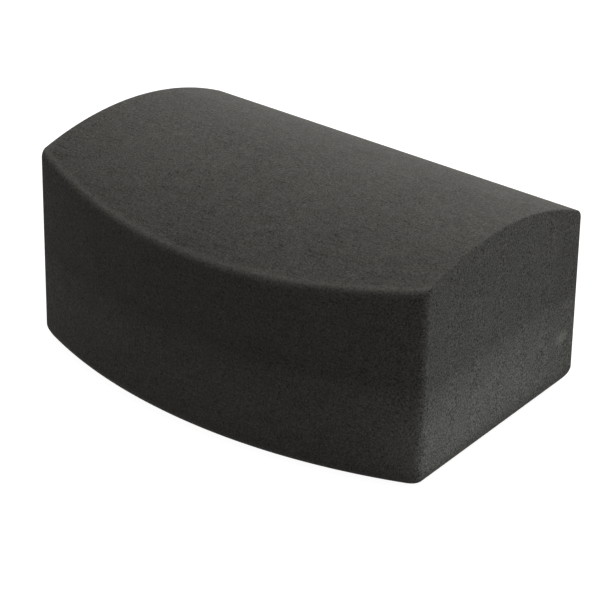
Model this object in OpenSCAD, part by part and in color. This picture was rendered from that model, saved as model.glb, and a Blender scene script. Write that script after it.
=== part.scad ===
// Contoured foam yoga block.
// One piece of firm closed-cell foam, cut to shape: a flat bottom, flat ends and
// a flat rear side, a front side that is bowed in plan, and a top arched from
// front to rear. The ends draw in a little towards the rear. Because the bowed
// side runs down the slope of the arch, the edge between the two dips towards
// the middle of the block.
// Millimetres, Z up. Origin: middle of the bottom, under the block's overall
// box. X runs along the block, the bowed side faces -Y.

/* [Block] */
// Length of the block between its front corners
block_length = 229; // [180:1:300]
// Depth from the belly of the bowed side to the flat rear
block_depth = 155; // [120:1:200]
// Height at the crest of the arched top
crest_height = 108.5; // [80:0.5:150]

/* [Curves] */
// How far the crest stands above the front and rear edges of the top
arch_rise = 18.5; // [8:0.5:30]
// How far the belly of the front stands out past the front corners
side_bow = 24.5; // [8:0.5:40]
// How far each end draws in from its front corner to the rear
end_taper = 5; // [0:0.5:12]

/* [Edges] */
// Rounding of the upright corners at the front
front_corner_round = 4.5; // [2:0.5:10]
// Rounding of the upright corners at the rear
rear_corner_round = 2; // [1:0.5:6]
// Rounding of the front edge of the top
front_top_round = 4.5; // [2:0.5:8]
// Rounding of the rear edge of the top
rear_top_round = 6; // [2:0.5:10]
// Rounding of the edges round the bottom
bottom_round = 8; // [2:0.5:10]
// Easing of the arched edges, where the ends were cut off
end_ease = 1.5; // [0.5:0.25:4]

/* [Hidden] */
$fn = 96;
foam_colour = "#3d3c3a";

half_length = block_length / 2;
half_depth = block_depth / 2;

// Radius and centre of the arch, in the end view (y, z)
arch_radius = (half_depth ^ 2 + arch_rise ^ 2) / (2 * arch_rise);
arch_z = crest_height - arch_radius;

// Radius and centre of the bow, in plan (x, y)
bow_radius = (half_length ^ 2 + side_bow ^ 2) / (2 * side_bow);
bow_y = bow_radius - half_depth;

// The right end in plan: its front corner, the way it faces, and the way it runs
// to the rear
front_corner = [half_length, side_bow - half_depth];
end_turn = atan2(end_taper, block_depth - side_bow);
end_out = [cos(end_turn), sin(end_turn)];
end_run = [-sin(end_turn), cos(end_turn)];

// A rounding stands this much proud of the faces that it blends, so that it
// crosses them cleanly and never only touches them
bite = 0.03;
// Reach of a cutter past the material that it takes off
clear = 5;
// Steps across the rounding of a swept edge
front_steps = 10;
end_steps = 4;

// Spacing of the stations along a swept edge. The straight steps between them
// then leave the curve by about a quarter of the bite.
function spacing(radius) = sqrt(2 * bite * radius);

// Distance from the middle of the arch or bow to a point that lies this far
// inside the curve, at that offset along the chord
function inside_arc(radius, inset, along) = sqrt((radius - inset) ^ 2 - along ^ 2);

// Point in plan that lies this far inside the right end, at that depth
function inside_end(inset, y) =
  let (start = front_corner - inset * end_out)
  start + (y - start[1]) / end_run[1] * end_run;

// Point in plan that lies this far inside both the right end and the bow
function inside_front_corner(inset) =
  let (
    start = front_corner - inset * end_out - [0, bow_y],
    along = start * end_run,
    beyond = start * start - (bow_radius - inset) ^ 2
  )
  front_corner - inset * end_out - (along + sqrt(along ^ 2 - beyond)) * end_run;

function unit(v) = v / norm(v);

// Angle between two directions
function angle_between(a, b) = acos(unit(a) * unit(b));

// Direction part of the way round from one to another
function around(a, b, share) =
  let (sweep = angle_between(a, b))
  (sin((1 - share) * sweep) * a + sin(share * sweep) * b) / sin(sweep);

// The same on both ends
module both_ends() {
  children();
  mirror([1, 0, 0]) children();
}

// What a rounding takes off a corner. The origin is the centre of the rounding,
// and its faces lie at the angles from and to.
module corner_waste(radius, from, to) {
  middle = (from + to) / 2;
  spread = (to - from) / 2;
  reach = radius + clear;
  difference() {
    polygon([
      [0, 0],
      reach * [cos(from), sin(from)],
      reach / cos(spread) * [cos(middle), sin(middle)],
      reach * [cos(to), sin(to)],
    ]);
    circle(radius);
  }
}

// The plan: bowed in front, drawn in at the ends, flat at the rear, and rounded at
// its four corners
module plan() {
  near = inside_end(0, -block_depth);
  far = inside_end(0, half_depth);
  front = inside_front_corner(front_corner_round - bite);
  rear_seat = rear_corner_round - bite;
  rear = inside_end(rear_seat, half_depth - rear_seat);
  difference() {
    intersection() {
      translate([0, bow_y]) circle(bow_radius);
      polygon([near, far, [-far[0], far[1]], [-near[0], near[1]]]);
    }
    both_ends() {
      translate(front)
        corner_waste(front_corner_round, atan2(front[1] - bow_y, front[0]), end_turn);
      translate(rear) corner_waste(rear_corner_round, end_turn, 90);
    }
  }
}

// The plan made as tall as the block, and cut along its length to the arch
module arched_block() {
  intersection() {
    linear_extrude(crest_height + clear) plan();
    translate([-block_length, 0, arch_z])
      rotate([0, 90, 0]) cylinder(r = arch_radius, h = 2 * block_length);
  }
}

// What a ball takes off an edge as it is rolled along inside two faces. At each
// station there are the ball's centre and the outward directions of both faces,
// and the waste has the outline from the ball's arc out to a point past the edge.
module rolled_waste(radius, steps, stations) {
  reach = radius + clear;
  ring = steps + 4;
  points = [
    for (s = stations)
      let (centre = s[0], side = s[1], top = s[2], spread = angle_between(side, top) / 2)
      each [
        for (i = [0 : steps]) centre + radius * around(side, top, i / steps),
        centre + reach * top,
        centre + reach / cos(spread) * unit(side + top),
        centre + reach * side,
      ],
  ];
  walls = [
    for (i = [0 : len(stations) - 2], j = [0 : ring - 1])
      let (a = i * ring + j, b = i * ring + (j + 1) % ring)
      each [[a, b, b + ring], [a, b + ring, a + ring]],
  ];
  first = [for (j = [ring - 1 : -1 : 0]) j];
  last = [for (j = [0 : ring - 1]) (len(stations) - 1) * ring + j];
  polyhedron(points, concat(walls, [first, last]));
}

// A station of a ball that lies inside the arch and a side, over a point in plan
function station(inset, plan, side) =
  let (up = inside_arc(arch_radius, inset, plan[1]))
  [[plan[0], plan[1], arch_z + up], [side[0], side[1], 0], unit([0, plan[1], up])];

// Lays a profile drawn in (y, z) along the block
module along_block() {
  translate([-half_length - clear, 0, 0])
    rotate([90, 0, 90])
      linear_extrude(block_length + 2 * clear) children();
}

// Waste of the two rear edges
module rear_waste() {
  seat = rear_top_round - bite;
  rear_y = half_depth - seat;
  up = inside_arc(arch_radius, seat, rear_y);
  low = bottom_round - bite;
  along_block() {
    translate([rear_y, arch_z + up])
      corner_waste(rear_top_round, 0, atan2(up, rear_y));
    translate([half_depth - low, low])
      corner_waste(bottom_round, -90, 0);
  }
}

// Waste of the bottom edge of each end
module end_bottom_waste() {
  low = bottom_round - bite;
  both_ends()
    rotate([0, 0, end_turn])
      translate([front_corner * end_out - low, block_depth, low])
        rotate([90, 0, 0])
          linear_extrude(2 * block_depth) corner_waste(bottom_round, -90, 0);
}

// Waste of the bottom edge of the bowed side
module bow_bottom_waste() {
  low = bottom_round - bite;
  translate([0, bow_y, low])
    rotate_extrude()
      translate([bow_radius - low, 0]) corner_waste(bottom_round, -90, 0);
}

// Waste of the arched edge of each end
module end_arch_waste() {
  seat = end_ease - bite;
  start = front_corner[1] - clear;
  run = half_depth + clear - start;
  count = ceil(run / spacing(arch_radius));
  both_ends()
    rolled_waste(end_ease, end_steps, [
      for (i = [0 : count])
        station(seat, inside_end(seat, start + run * i / count), end_out),
    ]);
}

// Waste of the front edge of the top, where the bow cuts the arch
module front_top_waste() {
  seat = front_top_round - bite;
  reach = asin((half_length + clear) / (bow_radius - seat));
  count = ceil(block_length / spacing(bow_radius));
  rolled_waste(front_top_round, front_steps, [
    for (i = [0 : count])
      let (turn = reach * (2 * i / count - 1), side = [sin(turn), -cos(turn)])
      station(seat, [0, bow_y] + (bow_radius - seat) * side, side),
  ]);
}

// The block with its rear edges and the edges round its bottom rounded
module eased_block() {
  difference() {
    difference() {
      arched_block();
      rear_waste();
    }
    end_bottom_waste();
    bow_bottom_waste();
  }
}

// The block, with all its edges rounded
module foam_block() {
  color(foam_colour)
    difference() {
      eased_block();
      end_arch_waste();
      front_top_waste();
    }
}

foam_block();
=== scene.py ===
# %% [markdown]
# # A contoured foam yoga block
#
# The block is one piece of firm closed-cell foam. Its base, ends and rear are
# flat, one long side is bowed, and the top is arched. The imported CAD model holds
# its size and place. This lesson builds a finer mesh of the same block around
# that frame, gives it the finish of cut foam, and lights it like a catalogue
# picture.

import math

import bmesh
import bpy
import numpy as np
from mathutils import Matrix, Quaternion, Vector


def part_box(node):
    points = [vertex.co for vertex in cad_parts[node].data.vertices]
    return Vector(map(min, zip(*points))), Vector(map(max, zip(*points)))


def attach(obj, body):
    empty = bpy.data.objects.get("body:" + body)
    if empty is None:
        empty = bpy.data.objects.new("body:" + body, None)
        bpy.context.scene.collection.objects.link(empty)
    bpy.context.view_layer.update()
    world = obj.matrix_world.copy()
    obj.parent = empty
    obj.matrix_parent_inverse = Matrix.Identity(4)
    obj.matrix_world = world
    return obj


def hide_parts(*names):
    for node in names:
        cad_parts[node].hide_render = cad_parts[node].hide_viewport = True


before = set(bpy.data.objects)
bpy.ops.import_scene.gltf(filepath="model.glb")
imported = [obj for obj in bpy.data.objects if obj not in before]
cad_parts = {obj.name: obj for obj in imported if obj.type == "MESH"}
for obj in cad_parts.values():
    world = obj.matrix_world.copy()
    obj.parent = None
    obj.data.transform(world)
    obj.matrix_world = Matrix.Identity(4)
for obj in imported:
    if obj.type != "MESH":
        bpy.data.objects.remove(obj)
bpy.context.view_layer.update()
scene = bpy.context.scene
scene.view_settings.view_transform = "Standard"

# %% [markdown]
# ## Camera
#
# A camera can be placed by eye, but the picture is matched more closely when it
# is described as a photographer would: how far round the block it stands, how
# high, how far away, and what it is aimed at. Those few numbers give a place and
# a turn. They come from fitting the block's outline to the picture. The long lens
# keeps the perspective mild, as it is there.

# %% Place the camera
MM = 0.001

VIEW_AZIMUTH = math.radians(38.07)
VIEW_ELEVATION = math.radians(27.49)
VIEW_ROLL = math.radians(0.95)
VIEW_DISTANCE = 1322.4 * MM
VIEW_AIM = Vector((3.2, 0.0, 38.5)) * MM
# In millimetres, for Blender's default sensor width of 36 mm
LENS_LENGTH = 166.2

towards_camera = Vector((
    math.sin(VIEW_AZIMUTH) * math.cos(VIEW_ELEVATION),
    -math.cos(VIEW_AZIMUTH) * math.cos(VIEW_ELEVATION),
    math.sin(VIEW_ELEVATION),
))
camera_data = bpy.data.cameras.new("studio_camera")
camera_data.lens = LENS_LENGTH
camera = bpy.data.objects.new("studio_camera", camera_data)
scene.collection.objects.link(camera)
camera.location = VIEW_AIM + towards_camera * VIEW_DISTANCE
camera.rotation_mode = "QUATERNION"
level_turn = towards_camera.to_track_quat("Z", "Y")
camera.rotation_quaternion = level_turn @ Quaternion((0, 0, 1), VIEW_ROLL)
scene.camera = camera
print("camera stands at", tuple(round(v, 3) for v in camera.location))

# %% [markdown]
# ## Sizes of the block
#
# The overall length, depth and height come from the CAD node, so the mesh can't
# drift away from it. The arch and the bow are circular arcs. An arc is given by
# its chord and its rise, and its radius follows from the two.

# %% Take the sizes from the frame
low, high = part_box("foam_block")
HALF_LENGTH = (high.x - low.x) / 2
HALF_DEPTH = (high.y - low.y) / 2
CREST = high.z

ARCH_RISE = 18.5 * MM
SIDE_BOW = 24.5 * MM
END_TAPER = 5.0 * MM


def arc_radius(half_chord, rise):
    """Radius of an arc that stands that far above its chord."""
    return (half_chord**2 + rise**2) / (2 * rise)


ARCH_RADIUS = arc_radius(HALF_DEPTH, ARCH_RISE)
ARCH_Z = CREST - ARCH_RADIUS
BOW_RADIUS = arc_radius(HALF_LENGTH, SIDE_BOW)
BOW_Y = BOW_RADIUS - HALF_DEPTH
print(f"arch radius {ARCH_RADIUS / MM:.1f} mm, bow radius {BOW_RADIUS / MM:.1f} mm")

# %% [markdown]
# ## Rounded edges
#
# A foam block has softened edges, usually from sanding. A Bevel modifier could
# round a sharp mesh, but here two curved faces cross, and a bevel that is wider
# than the small faces beside it can fold over itself. So the block is lofted: it
# is cut into slices along its length, each slice is an outline with rounded
# corners, and neighbouring outlines are joined by a strip of quads. Near an end
# every side draws in a little, which rounds the upright corners and the edges of
# the end as well.

# %% Round the block towards its ends
FRONT_CORNER_ROUND = 4.5 * MM
REAR_CORNER_ROUND = 2.0 * MM
FRONT_TOP_ROUND = 4.5 * MM
REAR_TOP_ROUND = 6.0 * MM
BOTTOM_ROUND = 8.0 * MM
END_EASE = 0.9 * MM

# Centre of the rounding of a front corner, in plan, and where it leaves the bow
CORNER_X = HALF_LENGTH - FRONT_CORNER_ROUND
CORNER_Y = BOW_Y - math.sqrt((BOW_RADIUS - FRONT_CORNER_ROUND) ** 2 - CORNER_X**2)
CORNER_START = CORNER_X * BOW_RADIUS / (BOW_RADIUS - FRONT_CORNER_ROUND)


def drawn_in(reach, radius):
    """How far a side has drawn in at that distance from the middle of the block."""
    past = max(reach - (HALF_LENGTH - radius), 0.0)
    return radius - math.sqrt(max(radius**2 - past**2, 0.0))


def front_of(reach):
    """The front side's place at that distance from the middle, and how far it has drawn in."""
    bow = BOW_Y - math.sqrt(BOW_RADIUS**2 - reach**2)
    if reach <= CORNER_START:
        return bow, 0.0
    corner = CORNER_Y - math.sqrt(max(FRONT_CORNER_ROUND**2 - (reach - CORNER_X) ** 2, 0.0))
    return corner, corner - bow


print(f"front corners round off {(HALF_LENGTH - CORNER_START) / MM:.1f} mm from the ends")

# %% [markdown]
# ## Cross-sections
#
# An outline runs once round the block, from the foot of the front over the top and
# back along the base. It is made of straight lines and arcs that follow each
# other. Every outline has the same number of points in the same order, so points
# with the same number can be joined later.

# %% Draw one cross-section
# No rounding shrinks below this, so that its points never fall together
FINEST_ROUND = 0.3 * MM
ARC_STEPS = 8
SIDE_STEPS = 36
ARCH_STEPS = 62
BASE_STEPS = 56


def arc(centre, radius, start, stop, steps):
    """Points on an arc in (y, z), without its last one."""
    turn = np.linspace(start, stop, steps, endpoint=False)
    return np.stack([centre[0] + radius * np.cos(turn), centre[1] + radius * np.sin(turn)], axis=1)


def straight(start, stop, steps):
    """Points on a line in (y, z), without its last one."""
    return np.linspace(start, stop, steps, endpoint=False)


def cross_section(x):
    """The outline of the block at x, from the front's foot over the top and back along the base."""
    reach = abs(x)
    front, front_in = front_of(reach)
    rear_in = drawn_in(reach, REAR_CORNER_ROUND)
    rear = HALF_DEPTH - rear_in
    base = drawn_in(reach, BOTTOM_ROUND)
    radius = ARCH_RADIUS - drawn_in(reach, END_EASE)

    front_top = max(FRONT_TOP_ROUND - front_in, FINEST_ROUND)
    rear_top = max(REAR_TOP_ROUND - rear_in, FINEST_ROUND)
    front_foot = max(BOTTOM_ROUND - max(front_in, base), FINEST_ROUND)
    rear_foot = max(BOTTOM_ROUND - max(rear_in, base), FINEST_ROUND)

    # Centres of the two roundings that sit under the arch
    front_y = front + front_top
    front_z = ARCH_Z + math.sqrt((radius - front_top) ** 2 - front_y**2)
    rear_y = rear - rear_top
    rear_z = ARCH_Z + math.sqrt((radius - rear_top) ** 2 - rear_y**2)
    front_turn = math.atan2(front_z - ARCH_Z, front_y)
    rear_turn = math.atan2(rear_z - ARCH_Z, rear_y)

    # The outline starts facing down, turns to the front, then to the rear, and ends facing down
    start_down, to_front, to_rear, end_down = 1.5 * math.pi, math.pi, 0.0, -0.5 * math.pi
    return np.concatenate([
        arc((front + front_foot, base + front_foot), front_foot, start_down, to_front, ARC_STEPS),
        straight((front, base + front_foot), (front, front_z), SIDE_STEPS),
        arc((front_y, front_z), front_top, to_front, front_turn, ARC_STEPS),
        arc((0.0, ARCH_Z), radius, front_turn, rear_turn, ARCH_STEPS),
        arc((rear_y, rear_z), rear_top, rear_turn, to_rear, ARC_STEPS),
        straight((rear, rear_z), (rear, base + rear_foot), SIDE_STEPS),
        arc((rear - rear_foot, base + rear_foot), rear_foot, to_rear, end_down, ARC_STEPS),
        straight((rear - rear_foot, base), (front + front_foot, base), BASE_STEPS),
    ])


OUTLINE_POINTS = len(cross_section(0.0))
print(OUTLINE_POINTS, "points in each cross-section")

# %% [markdown]
# ## Where the edge is painted paler
#
# The rounding of the front edge of the top is a little paler in the picture, and its
# corners with it. Part of that is wear from hands and mats, and part is a painted
# highlight where the rounding catches the light. The mark could be painted on an
# image, but a value at each point of the mesh stays sharp along the edge. It is
# strongest just before the arch starts, and at the ends it also runs along the first
# steps of the arch.

# %% Mark the wear and the painted highlight
ARCH_START = 2 * ARC_STEPS + SIDE_STEPS
LEAST_WEAR_AND_HIGHLIGHT = 0.3
WEAR_AND_HIGHLIGHT_FADE = 1.6
ARCH_WEAR_AND_HIGHLIGHT = 0.75
CORNER_STEPS = 9
CORNER_REACH = 5.0 * MM

# Points on the rounding of the front edge are painted paler, partly for wear and partly as a painted
# highlight
edge_wear_and_highlight = np.zeros(OUTLINE_POINTS)
edge_wear_and_highlight[ARCH_START - ARC_STEPS:ARCH_START] = np.linspace(LEAST_WEAR_AND_HIGHLIGHT, 1.0, ARC_STEPS) ** WEAR_AND_HIGHLIGHT_FADE
edge_wear_and_highlight[ARCH_START] = ARCH_WEAR_AND_HIGHLIGHT
corner_wear_and_highlight = np.zeros(OUTLINE_POINTS)
corner_wear_and_highlight[ARCH_START:ARCH_START + CORNER_STEPS] = np.linspace(1.0, 0.0, CORNER_STEPS)


def worn_and_highlit(x):
    """How much the points of the outline at x are painted paler, for wear and a painted highlight. The
    flat ends are not.
    """
    inside = HALF_LENGTH - abs(x)
    if inside < END_EASE:
        return np.zeros(OUTLINE_POINTS)
    return np.maximum(edge_wear_and_highlight, corner_wear_and_highlight * max(1 - inside / CORNER_REACH, 0.0))


print(np.count_nonzero(worn_and_highlit(0.0)), "points of the middle outline are rubbed")

# %% [markdown]
# ## Slices
#
# Slices are spread evenly along the block and crowd together round its ends,
# where the shape turns fast. The ends of the real block draw in a little towards
# the rear. The slices could be tilted for that, but it is simpler to pull each
# point along the block by its share.

# %% Place the slices
EVEN_SLICES = 92
END_SLICES = 18


def slice_places():
    """Distances of the slices from the middle, end to end."""
    start = HALF_LENGTH - BOTTOM_ROUND
    turn = np.linspace(0.0, math.pi / 2, END_SLICES + 1)
    end = start + BOTTOM_ROUND * np.sin(turn)
    even = np.linspace(-start, start, EVEN_SLICES + 1)
    return np.concatenate([-end[:0:-1], even, end[1:]])


def tapered(x, y):
    """The place along the block of a point, once the ends draw in towards the rear."""
    draw = END_TAPER / (2 * HALF_DEPTH - SIDE_BOW) * max(y - CORNER_Y, 0.0)
    return x * (1 - draw / HALF_LENGTH)


print(len(slice_places()), "slices, ends drawn in by", END_TAPER / MM, "mm")

# %% [markdown]
# ## The mesh
#
# A flat end could be closed with one large face, but such a face shades badly when
# its edge is smooth. So each end gets shrinking copies of its last outline: its
# flat face then has quads of its own and shades flat.

# %% Loft the block
CAP_RINGS = 22


def shrunk(outline, share):
    """A copy of an outline, drawn towards the middle of its box."""
    middle = (outline.min(axis=0) + outline.max(axis=0)) / 2
    return middle + (outline - middle) * share


def foam_block_mesh():
    """The block as rings of points joined by quads, with a fan in the middle of each end."""
    places = slice_places()
    shares = 1 - np.arange(1, CAP_RINGS) / CAP_RINGS
    first, last = cross_section(places[0]), cross_section(places[-1])
    rings = [(places[0], shrunk(first, share)) for share in shares[::-1]]
    rings += [(x, cross_section(x)) for x in places]
    rings += [(places[-1], shrunk(last, share)) for share in shares]

    mesh = bmesh.new()
    # Each point keeps how much paler it is painted, for wear and a painted highlight
    rubbed_and_highlit = mesh.verts.layers.float.new("rubbed_and_highlit")
    loops = [[mesh.verts.new((tapered(x, y), y, z)) for y, z in outline] for x, outline in rings]
    for (x, _), loop in zip(rings, loops):
        for vert, amount in zip(loop, worn_and_highlit(x)):
            vert[rubbed_and_highlit] = amount
    for one, two in zip(loops, loops[1:]):
        for i in range(OUTLINE_POINTS):
            mesh.faces.new((one[i - 1], one[i], two[i], two[i - 1]))
    for loop, outline, x in ((loops[0], first, places[0]), (loops[-1], last, places[-1])):
        y, z = shrunk(outline, 0.0)[0]
        middle = mesh.verts.new((tapered(x, y), y, z))
        for i in range(OUTLINE_POINTS):
            mesh.faces.new((loop[i - 1], loop[i], middle))
    bmesh.ops.recalc_face_normals(mesh, faces=mesh.faces)
    data = bpy.data.meshes.new("foam_block_body")
    mesh.to_mesh(data)
    mesh.free()
    data.shade_smooth()
    return data


block_mesh = foam_block_mesh()
print(len(block_mesh.vertices), "points,", len(block_mesh.polygons), "faces")

# %% [markdown]
# ## The block in the frame
#
# The mesh is already where the CAD block is, so it needs no moving. It could stand
# in the scene by itself, but then nothing would tie it to the model. So it rides on
# the model's one body and takes the place of the plain CAD block, which is hidden.

# %% Put the block in place
block = bpy.data.objects.new("foam_block_body", block_mesh)
scene.collection.objects.link(block)
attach(block, "root")
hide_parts("foam_block")
print(block.name, "takes the place of foam_block")

# %% [markdown]
# ## Node helper
#
# A material is a small graph of nodes. One helper adds a node, sets its options
# and fills its sockets: a plain value is set on the socket, and another node's
# output is linked to it. A second helper turns a colour as it is written for a
# screen into the linear numbers of a shader.


# %% Add a node with its settings and links
def add_node(tree, kind, settings=None, sockets=None):
    """A new node. Sockets are given by name or number."""
    node = tree.nodes.new(kind)
    for name, value in (settings or {}).items():
        setattr(node, name, value)
    for name, value in (sockets or {}).items():
        if isinstance(value, bpy.types.NodeSocket):
            tree.links.new(value, node.inputs[name])
        else:
            node.inputs[name].default_value = value
    return node


def linear(hex_colour):
    """A colour written as sRGB hex, as the linear numbers that a shader takes."""
    parts = [int(hex_colour[i:i + 2], 16) / 255 for i in (1, 3, 5)]
    return (*[p / 12.92 if p <= 0.04045 else ((p + 0.055) / 1.055) ** 2.4 for p in parts], 1.0)


print("middle grey is", round(linear("#808080")[0], 3), "in linear light")

# %% [markdown]
# ## Cut EVA foam
#
# Most blocks like this are EVA, a rubbery plastic that is blown into foam full of
# tiny closed cells and coloured right through, here a charcoal grey. Such foam is
# cut and sanded to shape, so its outer cells lie open: no gloss is left, only a
# fine mottle of dark hollows and paler cell walls. A picture of foam could be
# wrapped round the block, but it would stretch on the curves. Noise that is worked
# out at each point in space needs no wrapping, and its sizes can be given in
# millimetres.

# %% Mottle the foam
# Cells of such foam are a few tenths of a millimetre across. That is too fine to
# show in the render, so they are drawn coarser, with larger pores among them.
CELL_SIZE = 0.75 * MM
PORE_SIZE = 1.5 * MM
NOISE_MIDDLE = 0.5
MIDDLE_TONE = 0.36
PORE_TONE = 0.24
GRAIN_CONTRAST = 1.75
# Added on the two ends, because the one in the picture has a stronger mottle
END_CONTRAST = 1.2

foam = bpy.data.materials.new("cut_eva_foam")
foam.use_nodes = True
tree = foam.node_tree
place = add_node(tree, "ShaderNodeTexCoord")
cells = add_node(tree, "ShaderNodeTexNoise", sockets={
    "Vector": place.outputs["Object"],
    "Scale": 1 / CELL_SIZE,
    "Detail": 2.0,
    "Roughness": 0.7,
})
pores = add_node(tree, "ShaderNodeTexVoronoi", sockets={
    "Vector": place.outputs["Object"],
    "Scale": 1 / PORE_SIZE,
})
facing = add_node(tree, "ShaderNodeSeparateXYZ", sockets={0: place.outputs["Normal"]})
to_end = add_node(tree, "ShaderNodeMath", {"operation": "ABSOLUTE"}, {0: facing.outputs["X"]})
contrast = add_node(tree, "ShaderNodeMath", {"operation": "MULTIPLY_ADD"}, {
    0: to_end.outputs[0],
    1: END_CONTRAST,
    2: GRAIN_CONTRAST,
})
grain = add_node(tree, "ShaderNodeMath", {"operation": "SUBTRACT"}, {
    0: cells.outputs["Fac"],
    1: NOISE_MIDDLE,
})
mottle = add_node(tree, "ShaderNodeMath", {"operation": "MULTIPLY_ADD"}, {
    0: grain.outputs[0],
    1: contrast.outputs[0],
    2: MIDDLE_TONE,
})
mottle = add_node(tree, "ShaderNodeMath", {"operation": "MULTIPLY_ADD"}, {
    0: pores.outputs["Distance"],
    1: PORE_TONE,
    2: mottle.outputs[0],
})
print(f"cells {CELL_SIZE / MM:.2f} mm, pores {PORE_SIZE / MM:.1f} mm")

# %% [markdown]
# ## Clouds
#
# No batch of foam is perfectly even. Two soft noises lie under the mottle, one with
# patches about as wide as an egg and one with patches as wide as a pea. Each makes
# the foam a little paler or darker. Such patches could be painted on an image, but
# noise in space runs on over the edges without a seam.

# %% Cloud the foam
CLOUD_SIZE = 38 * MM
CLOUD_TONE = 0.16
BLOTCH_SIZE = 6 * MM
BLOTCH_TONE = 0.20

tone = mottle
for size, weight in ((CLOUD_SIZE, CLOUD_TONE), (BLOTCH_SIZE, BLOTCH_TONE)):
    noise = add_node(tree, "ShaderNodeTexNoise", sockets={
        "Vector": place.outputs["Object"],
        "Scale": 1 / size,
        "Detail": 1.0,
    })
    offset = add_node(tree, "ShaderNodeMath", {"operation": "MULTIPLY_ADD"}, {
        0: noise.outputs["Fac"],
        1: weight,
        2: -weight * NOISE_MIDDLE,
    })
    tone = add_node(tree, "ShaderNodeMath", {"operation": "ADD"}, {
        0: tone.outputs[0],
        1: offset.outputs[0],
    })
print(f"clouds {CLOUD_SIZE / MM:.0f} mm and blotches {BLOTCH_SIZE / MM:.0f} mm wide")

# %% [markdown]
# ## Knife marks
#
# Short fine streaks run along the top in the picture, most likely from the blade
# that cut it. On the bowed side they are fainter. Grooves could be modelled, but the
# streaks show no depth. A noise becomes a streak when its scale is small along the
# block and large across it, and the way that a face points says which streaks it
# gets.

# %% Streak the top and the front
STREAK_LENGTH = 16 * MM
# Knife marks are finer than this on real foam. They are drawn as wide as they need to show.
STREAK_WIDTH = 0.9 * MM
TOP_STREAK_TONE = 0.15
FRONT_STREAK_TONE = 0.10
FACING_START, FACING_FULL = 0.6, 0.9
STREAK_START, STREAK_FULL = 0.52, 0.72
BETWEEN_STREAKS, IN_STREAK = 0.15, -0.85

across_top = (1 / STREAK_LENGTH, 1 / STREAK_WIDTH, 0.0)
across_front = (1 / STREAK_LENGTH, 0.0, 1 / STREAK_WIDTH)
marks = ((across_top, "Z", TOP_STREAK_TONE), (across_front, "Y", FRONT_STREAK_TONE))
for scale, axis, weight in marks:
    stretched = add_node(tree, "ShaderNodeMapping", sockets={
        "Vector": place.outputs["Object"],
        "Scale": scale,
    })
    noise = add_node(tree, "ShaderNodeTexNoise", sockets={
        "Vector": stretched.outputs[0],
        "Scale": 1.0,
        "Detail": 1.0,
    })
    faces = add_node(tree, "ShaderNodeMath", {"operation": "ABSOLUTE"}, {0: facing.outputs[axis]})
    strength = add_node(tree, "ShaderNodeMapRange", {"interpolation_type": "SMOOTHSTEP"}, {
        "Value": faces.outputs[0],
        "From Min": FACING_START,
        "From Max": FACING_FULL,
        "To Max": weight,
    })
    dashes = add_node(tree, "ShaderNodeMapRange", {"interpolation_type": "SMOOTHSTEP"}, {
        "Value": noise.outputs["Fac"],
        "From Min": STREAK_START,
        "From Max": STREAK_FULL,
        "To Min": BETWEEN_STREAKS,
        "To Max": IN_STREAK,
    })
    tone = add_node(tree, "ShaderNodeMath", {"operation": "MULTIPLY_ADD"}, {
        0: dashes.outputs[0],
        1: strength.outputs[0],
        2: tone.outputs[0],
    })
print(f"streaks {STREAK_WIDTH / MM:.1f} mm wide and about {STREAK_LENGTH / MM:.0f} mm long")

# %% [markdown]
# ## Two sheets in one block, and painted floor light
#
# Foam this thick is often made of two sheets that are bonded and then cut as one.
# The picture suggests that here: a faint dark band runs along the front and the end
# at half their height, as if both sheets were denser near a bond. The band has no
# step that could be modelled, so a colour ramp over the height draws it. The same
# ramp also paints light and shade: the lower part is painted paler, a little for its
# own sheet and more as light thrown up from the floor would make it, and the very
# foot a shade darker, as painted shade where the floor meets it. Its tones were set
# against the shades in the picture.

# %% Shade the sheets and paint the floor light over the height
# Pairs of height, as a share of the crest, and tone. The paler tones low down are
# painted light from the floor, and the slightly darker tone at the foot is painted shade.
SHEET_AND_FLOOR_LIGHT_TONES = (
    (0.00, 0.94), (0.12, 0.99), (0.27, 1.00), (0.40, 0.88), (0.49, 0.68),
    (0.51, 0.68), (0.58, 0.71), (0.80, 0.75), (1.00, 0.80),
)

spot = add_node(tree, "ShaderNodeSeparateXYZ", sockets={0: place.outputs["Object"]})
height = add_node(tree, "ShaderNodeMath", {"operation": "DIVIDE"}, {0: spot.outputs["Z"], 1: CREST})
sheets_and_floor_light = add_node(tree, "ShaderNodeValToRGB", sockets={0: height.outputs[0]})
sheets_and_floor_light.color_ramp.interpolation = "EASE"
stops = sheets_and_floor_light.color_ramp.elements
while len(stops) < len(SHEET_AND_FLOOR_LIGHT_TONES):
    stops.new(0.5)
for stop, (share, grey) in zip(stops, SHEET_AND_FLOOR_LIGHT_TONES):
    stop.position = share
    stop.color = (grey, grey, grey, 1.0)
print(f"bond {CREST / 2 / MM:.1f} mm above the base")

# %% [markdown]
# ## A painted highlight on the edge, and a scuff
#
# The value that the mesh carries now lifts the tone along the front edge of the top,
# for wear and a painted highlight on its rounding.
# The right end has one small pale scuff low down near its rear edge, as from a
# knock. It could be a decal on a small plane over the end, but a soft spot in the
# foam's own tone has no border. The scuff is wider than it is tall, so the distance
# from its centre is measured with the depth squeezed.

# %% Paint the edge paler and scuff the end
# How much paler the edge is painted, for wear and a painted highlight
EDGE_RUB_AND_HIGHLIGHT = 0.26
SCUFF_Y, SCUFF_Z = 65.2 * MM, 28.2 * MM
SCUFF_CENTRE = (tapered(HALF_LENGTH, SCUFF_Y), SCUFF_Y, SCUFF_Z)
SCUFF_SQUEEZE = (1.0, 0.65, 1.0)
SCUFF_CORE = 0.9 * MM
SCUFF_RADIUS = 4.5 * MM
SCUFF_RUB = 0.5

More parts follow.
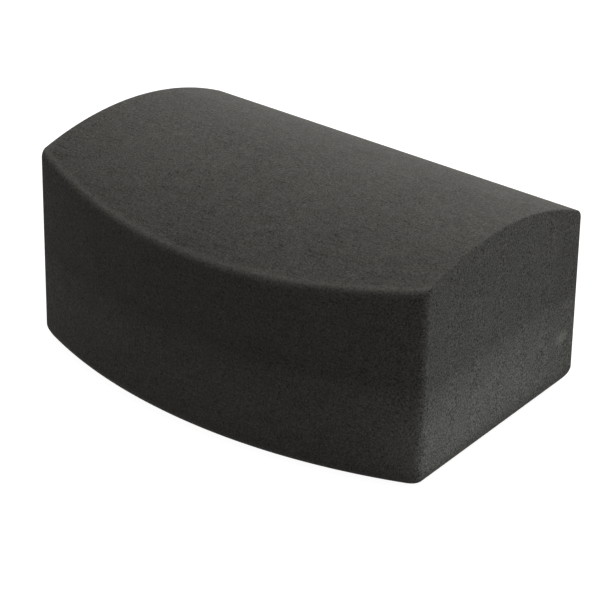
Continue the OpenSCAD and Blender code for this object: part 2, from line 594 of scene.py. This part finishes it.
rub_and_highlight = add_node(tree, "ShaderNodeAttribute", {"attribute_name": "rubbed_and_highlit"})
tone = add_node(tree, "ShaderNodeMath", {"operation": "MULTIPLY_ADD"}, {
    0: rub_and_highlight.outputs["Fac"],
    1: EDGE_RUB_AND_HIGHLIGHT,
    2: tone.outputs[0],
})
away = add_node(tree, "ShaderNodeVectorMath", {"operation": "SUBTRACT"}, {
    0: place.outputs["Object"],
    1: SCUFF_CENTRE,
})
squeezed = add_node(tree, "ShaderNodeVectorMath", {"operation": "MULTIPLY"}, {
    0: away.outputs[0],
    1: SCUFF_SQUEEZE,
})
distance = add_node(tree, "ShaderNodeVectorMath", {"operation": "LENGTH"}, {0: squeezed.outputs[0]})
scuff = add_node(tree, "ShaderNodeMapRange", {"interpolation_type": "SMOOTHSTEP"}, {
    "Value": distance.outputs["Value"],
    "From Min": SCUFF_CORE,
    "From Max": SCUFF_RADIUS,
    "To Min": SCUFF_RUB,
    "To Max": 0.0,
})
tone = add_node(tree, "ShaderNodeMath", {"operation": "ADD"}, {
    0: tone.outputs[0],
    1: scuff.outputs[0],
})
print("scuff at", tuple(round(v / MM, 1) for v in SCUFF_CENTRE), "mm")

# %% [markdown]
# ## Putting the foam together
#
# The tone picks a shade between the deep grey of a hollow and the paler grey of a
# cell wall, and the ramp over the height darkens it, with its bond band and its
# painted floor light and shade. The foam is dull: very rough, with less reflection
# than a smooth plastic because the open cells swallow light. A small bump lets the
# mottle catch the lamps.

# %% Build the foam shader
HOLLOW_COLOUR = "#252321"
WALL_COLOUR = "#73716d"
RELIEF = 0.15 * MM
RELIEF_STRENGTH = 0.4
HOLLOW_ROUGHNESS = 0.92
WALL_ROUGHNESS = 0.80
EVA_IOR = 1.48
OPEN_CELL_SPECULAR = 0.15

# When a Mix node mixes colours, socket 0 is the share, 6 and 7 are the two colours,
# and output 2 is the result
mixed = add_node(tree, "ShaderNodeMix", {"data_type": "RGBA"}, {
    0: tone.outputs[0],
    6: linear(HOLLOW_COLOUR),
    7: linear(WALL_COLOUR),
})
# The ramp over the height multiplies in the bond band and its painted floor light and shade
shaded = add_node(tree, "ShaderNodeMix", {"data_type": "RGBA", "blend_type": "MULTIPLY"}, {
    0: 1.0,
    6: mixed.outputs[2],
    7: sheets_and_floor_light.outputs["Color"],
})
relief = add_node(tree, "ShaderNodeBump", sockets={
    "Height": mottle.outputs[0],
    "Strength": RELIEF_STRENGTH,
    "Distance": RELIEF,
})
dullness = add_node(tree, "ShaderNodeMapRange", sockets={
    "Value": mottle.outputs[0],
    "To Min": HOLLOW_ROUGHNESS,
    "To Max": WALL_ROUGHNESS,
})
shader = tree.nodes["Principled BSDF"]
shader.inputs["IOR"].default_value = EVA_IOR
shader.inputs["Specular IOR Level"].default_value = OPEN_CELL_SPECULAR
tree.links.new(shaded.outputs[2], shader.inputs["Base Color"])
tree.links.new(dullness.outputs[0], shader.inputs["Roughness"])
tree.links.new(relief.outputs[0], shader.inputs["Normal"])
block.data.materials.append(foam)
print("foam has", len(tree.nodes), "nodes")

# %% [markdown]
# ## Paper floor
#
# The block stands on a wide sheet of white paper. If the paper were lit until it
# turned white, the block would be far too bright. So the paper is a plain matte
# grey for the light that it throws back, and only rays that end in the picture
# see it with a glow added. It looks white, and the shadow of the block still falls
# on it.

# %% Lay the floor
FLOOR_SIZE = 6.0
PAPER_COLOUR = "#9f9a98"
PAPER_GLOW = 0.96


def seen(tree):
    """One for a ray that shows the surface to the camera, straight on, mirrored or through glass."""
    path = add_node(tree, "ShaderNodeLightPath")
    mirrored = add_node(tree, "ShaderNodeMath", {"operation": "MAXIMUM"}, {
        0: path.outputs["Is Camera Ray"],
        1: path.outputs["Is Glossy Ray"],
    })
    through = add_node(tree, "ShaderNodeMath", {"operation": "MAXIMUM"}, {
        0: mirrored.outputs[0],
        1: path.outputs["Is Transmission Ray"],
    })
    return through.outputs[0]


bpy.ops.mesh.primitive_plane_add(size=FLOOR_SIZE)
floor = bpy.context.object
floor.name = "studio_floor"
paper = bpy.data.materials.new("studio_paper")
paper.use_nodes = True
paper_tree = paper.node_tree
paper_tree.nodes.clear()
matte = add_node(paper_tree, "ShaderNodeBsdfDiffuse", sockets={"Color": linear(PAPER_COLOUR)})
glow = add_node(paper_tree, "ShaderNodeEmission", sockets={"Strength": PAPER_GLOW})
lifted = add_node(paper_tree, "ShaderNodeAddShader", sockets={0: matte.outputs[0], 1: glow.outputs[0]})
sheet = add_node(paper_tree, "ShaderNodeMixShader", sockets={
    0: seen(paper_tree),
    1: matte.outputs[0],
    2: lifted.outputs[0],
})
add_node(paper_tree, "ShaderNodeOutputMaterial", sockets={"Surface": sheet.outputs[0]})
floor.data.materials.append(paper)
print(f"floor {FLOOR_SIZE:.0f} m wide, with", len(paper_tree.nodes), "nodes")

# %% [markdown]
# ## World
#
# Behind the paper there is nothing but the world. It is white where the camera
# sees it, like the paper, and for the light on the block it is only a weak even
# fill, as the walls of a pale room would give.

# %% Set the world
SKY_FILL = 0.14

world = bpy.data.worlds.new("studio_world")
scene.world = world
world.use_nodes = True
sky = world.node_tree.nodes["Background"]
sky.inputs["Color"].default_value = linear("#ffffff")
sky_strength = add_node(world.node_tree, "ShaderNodeMapRange", sockets={
    "Value": seen(world.node_tree),
    "To Min": SKY_FILL,
    "To Max": 1.0,
})
world.node_tree.links.new(sky_strength.outputs[0], sky.inputs["Strength"])
print(f"fill light {SKY_FILL:.2f}")

# %% [markdown]
# ## Lamps
#
# In the picture the top grows paler towards the rear, the right end is lit and the
# bowed front is in shade, so most light comes from behind and from the right. A
# sun lamp would throw hard shadows. Large round soft boxes give the gentle shading
# of a studio: one low behind, one high at the rear right, a weak one on each side
# and one straight above, which lights the rounding of the front edge. Their
# strengths were matched to the shades in the picture.

# %% Hang the lamps
LAMP_DISTANCE = 1.6
LAMP_SIZE = 0.9


def soft_lamp(name, azimuth, elevation, watts, colour):
    """A round soft box that faces the block, placed by how far round it stands and how high."""
    turn, rise = math.radians(azimuth), math.radians(elevation)
    data = bpy.data.lights.new(name, "AREA")
    data.shape = "DISK"
    data.size = LAMP_SIZE
    data.energy = watts
    data.color = linear(colour)[:3]
    lamp = bpy.data.objects.new(name, data)
    scene.collection.objects.link(lamp)
    lamp.location = LAMP_DISTANCE * Vector((
        math.sin(turn) * math.cos(rise),
        -math.cos(turn) * math.cos(rise),
        math.sin(rise),
    ))
    lamp.rotation_mode = "QUATERNION"
    lamp.rotation_quaternion = lamp.location.to_track_quat("Z", "Y")
    print(f"{name} at", tuple(round(v, 2) for v in lamp.location))


soft_lamp("rear_lamp", azimuth=180, elevation=15, watts=6.8, colour="#ffffff")
soft_lamp("right_lamp", azimuth=150, elevation=65, watts=9.2, colour="#fafeff")
soft_lamp("side_lamp", azimuth=120, elevation=20, watts=2.7, colour="#fafeff")
soft_lamp("left_lamp", azimuth=230, elevation=15, watts=3.0, colour="#ffffff")
soft_lamp("top_lamp", azimuth=0, elevation=90, watts=6.0, colour="#fffaf5")

# %% [markdown]
# ## White card
#
# The right end is palest low down. A photographer could lay a white card on the
# floor beside it, to throw light back up. Here the card is a small area lamp that
# lies there and faces up.

# %% Lay the card
CARD_WIDTH, CARD_DEPTH = 0.20, 0.15
CARD_PLACE = (0.22, 0.0, 0.004)
CARD_WATTS = 0.095

card_data = bpy.data.lights.new("low_card", "AREA")
card_data.shape = "RECTANGLE"
card_data.size = CARD_WIDTH
card_data.size_y = CARD_DEPTH
card_data.energy = CARD_WATTS
card_data.color = linear("#f0fcff")[:3]
card = bpy.data.objects.new("low_card", card_data)
scene.collection.objects.link(card)
card.location = CARD_PLACE
# An area lamp shines down until it is turned over
card.rotation_euler = (math.pi, 0.0, 0.0)
print("card lies at", CARD_PLACE)
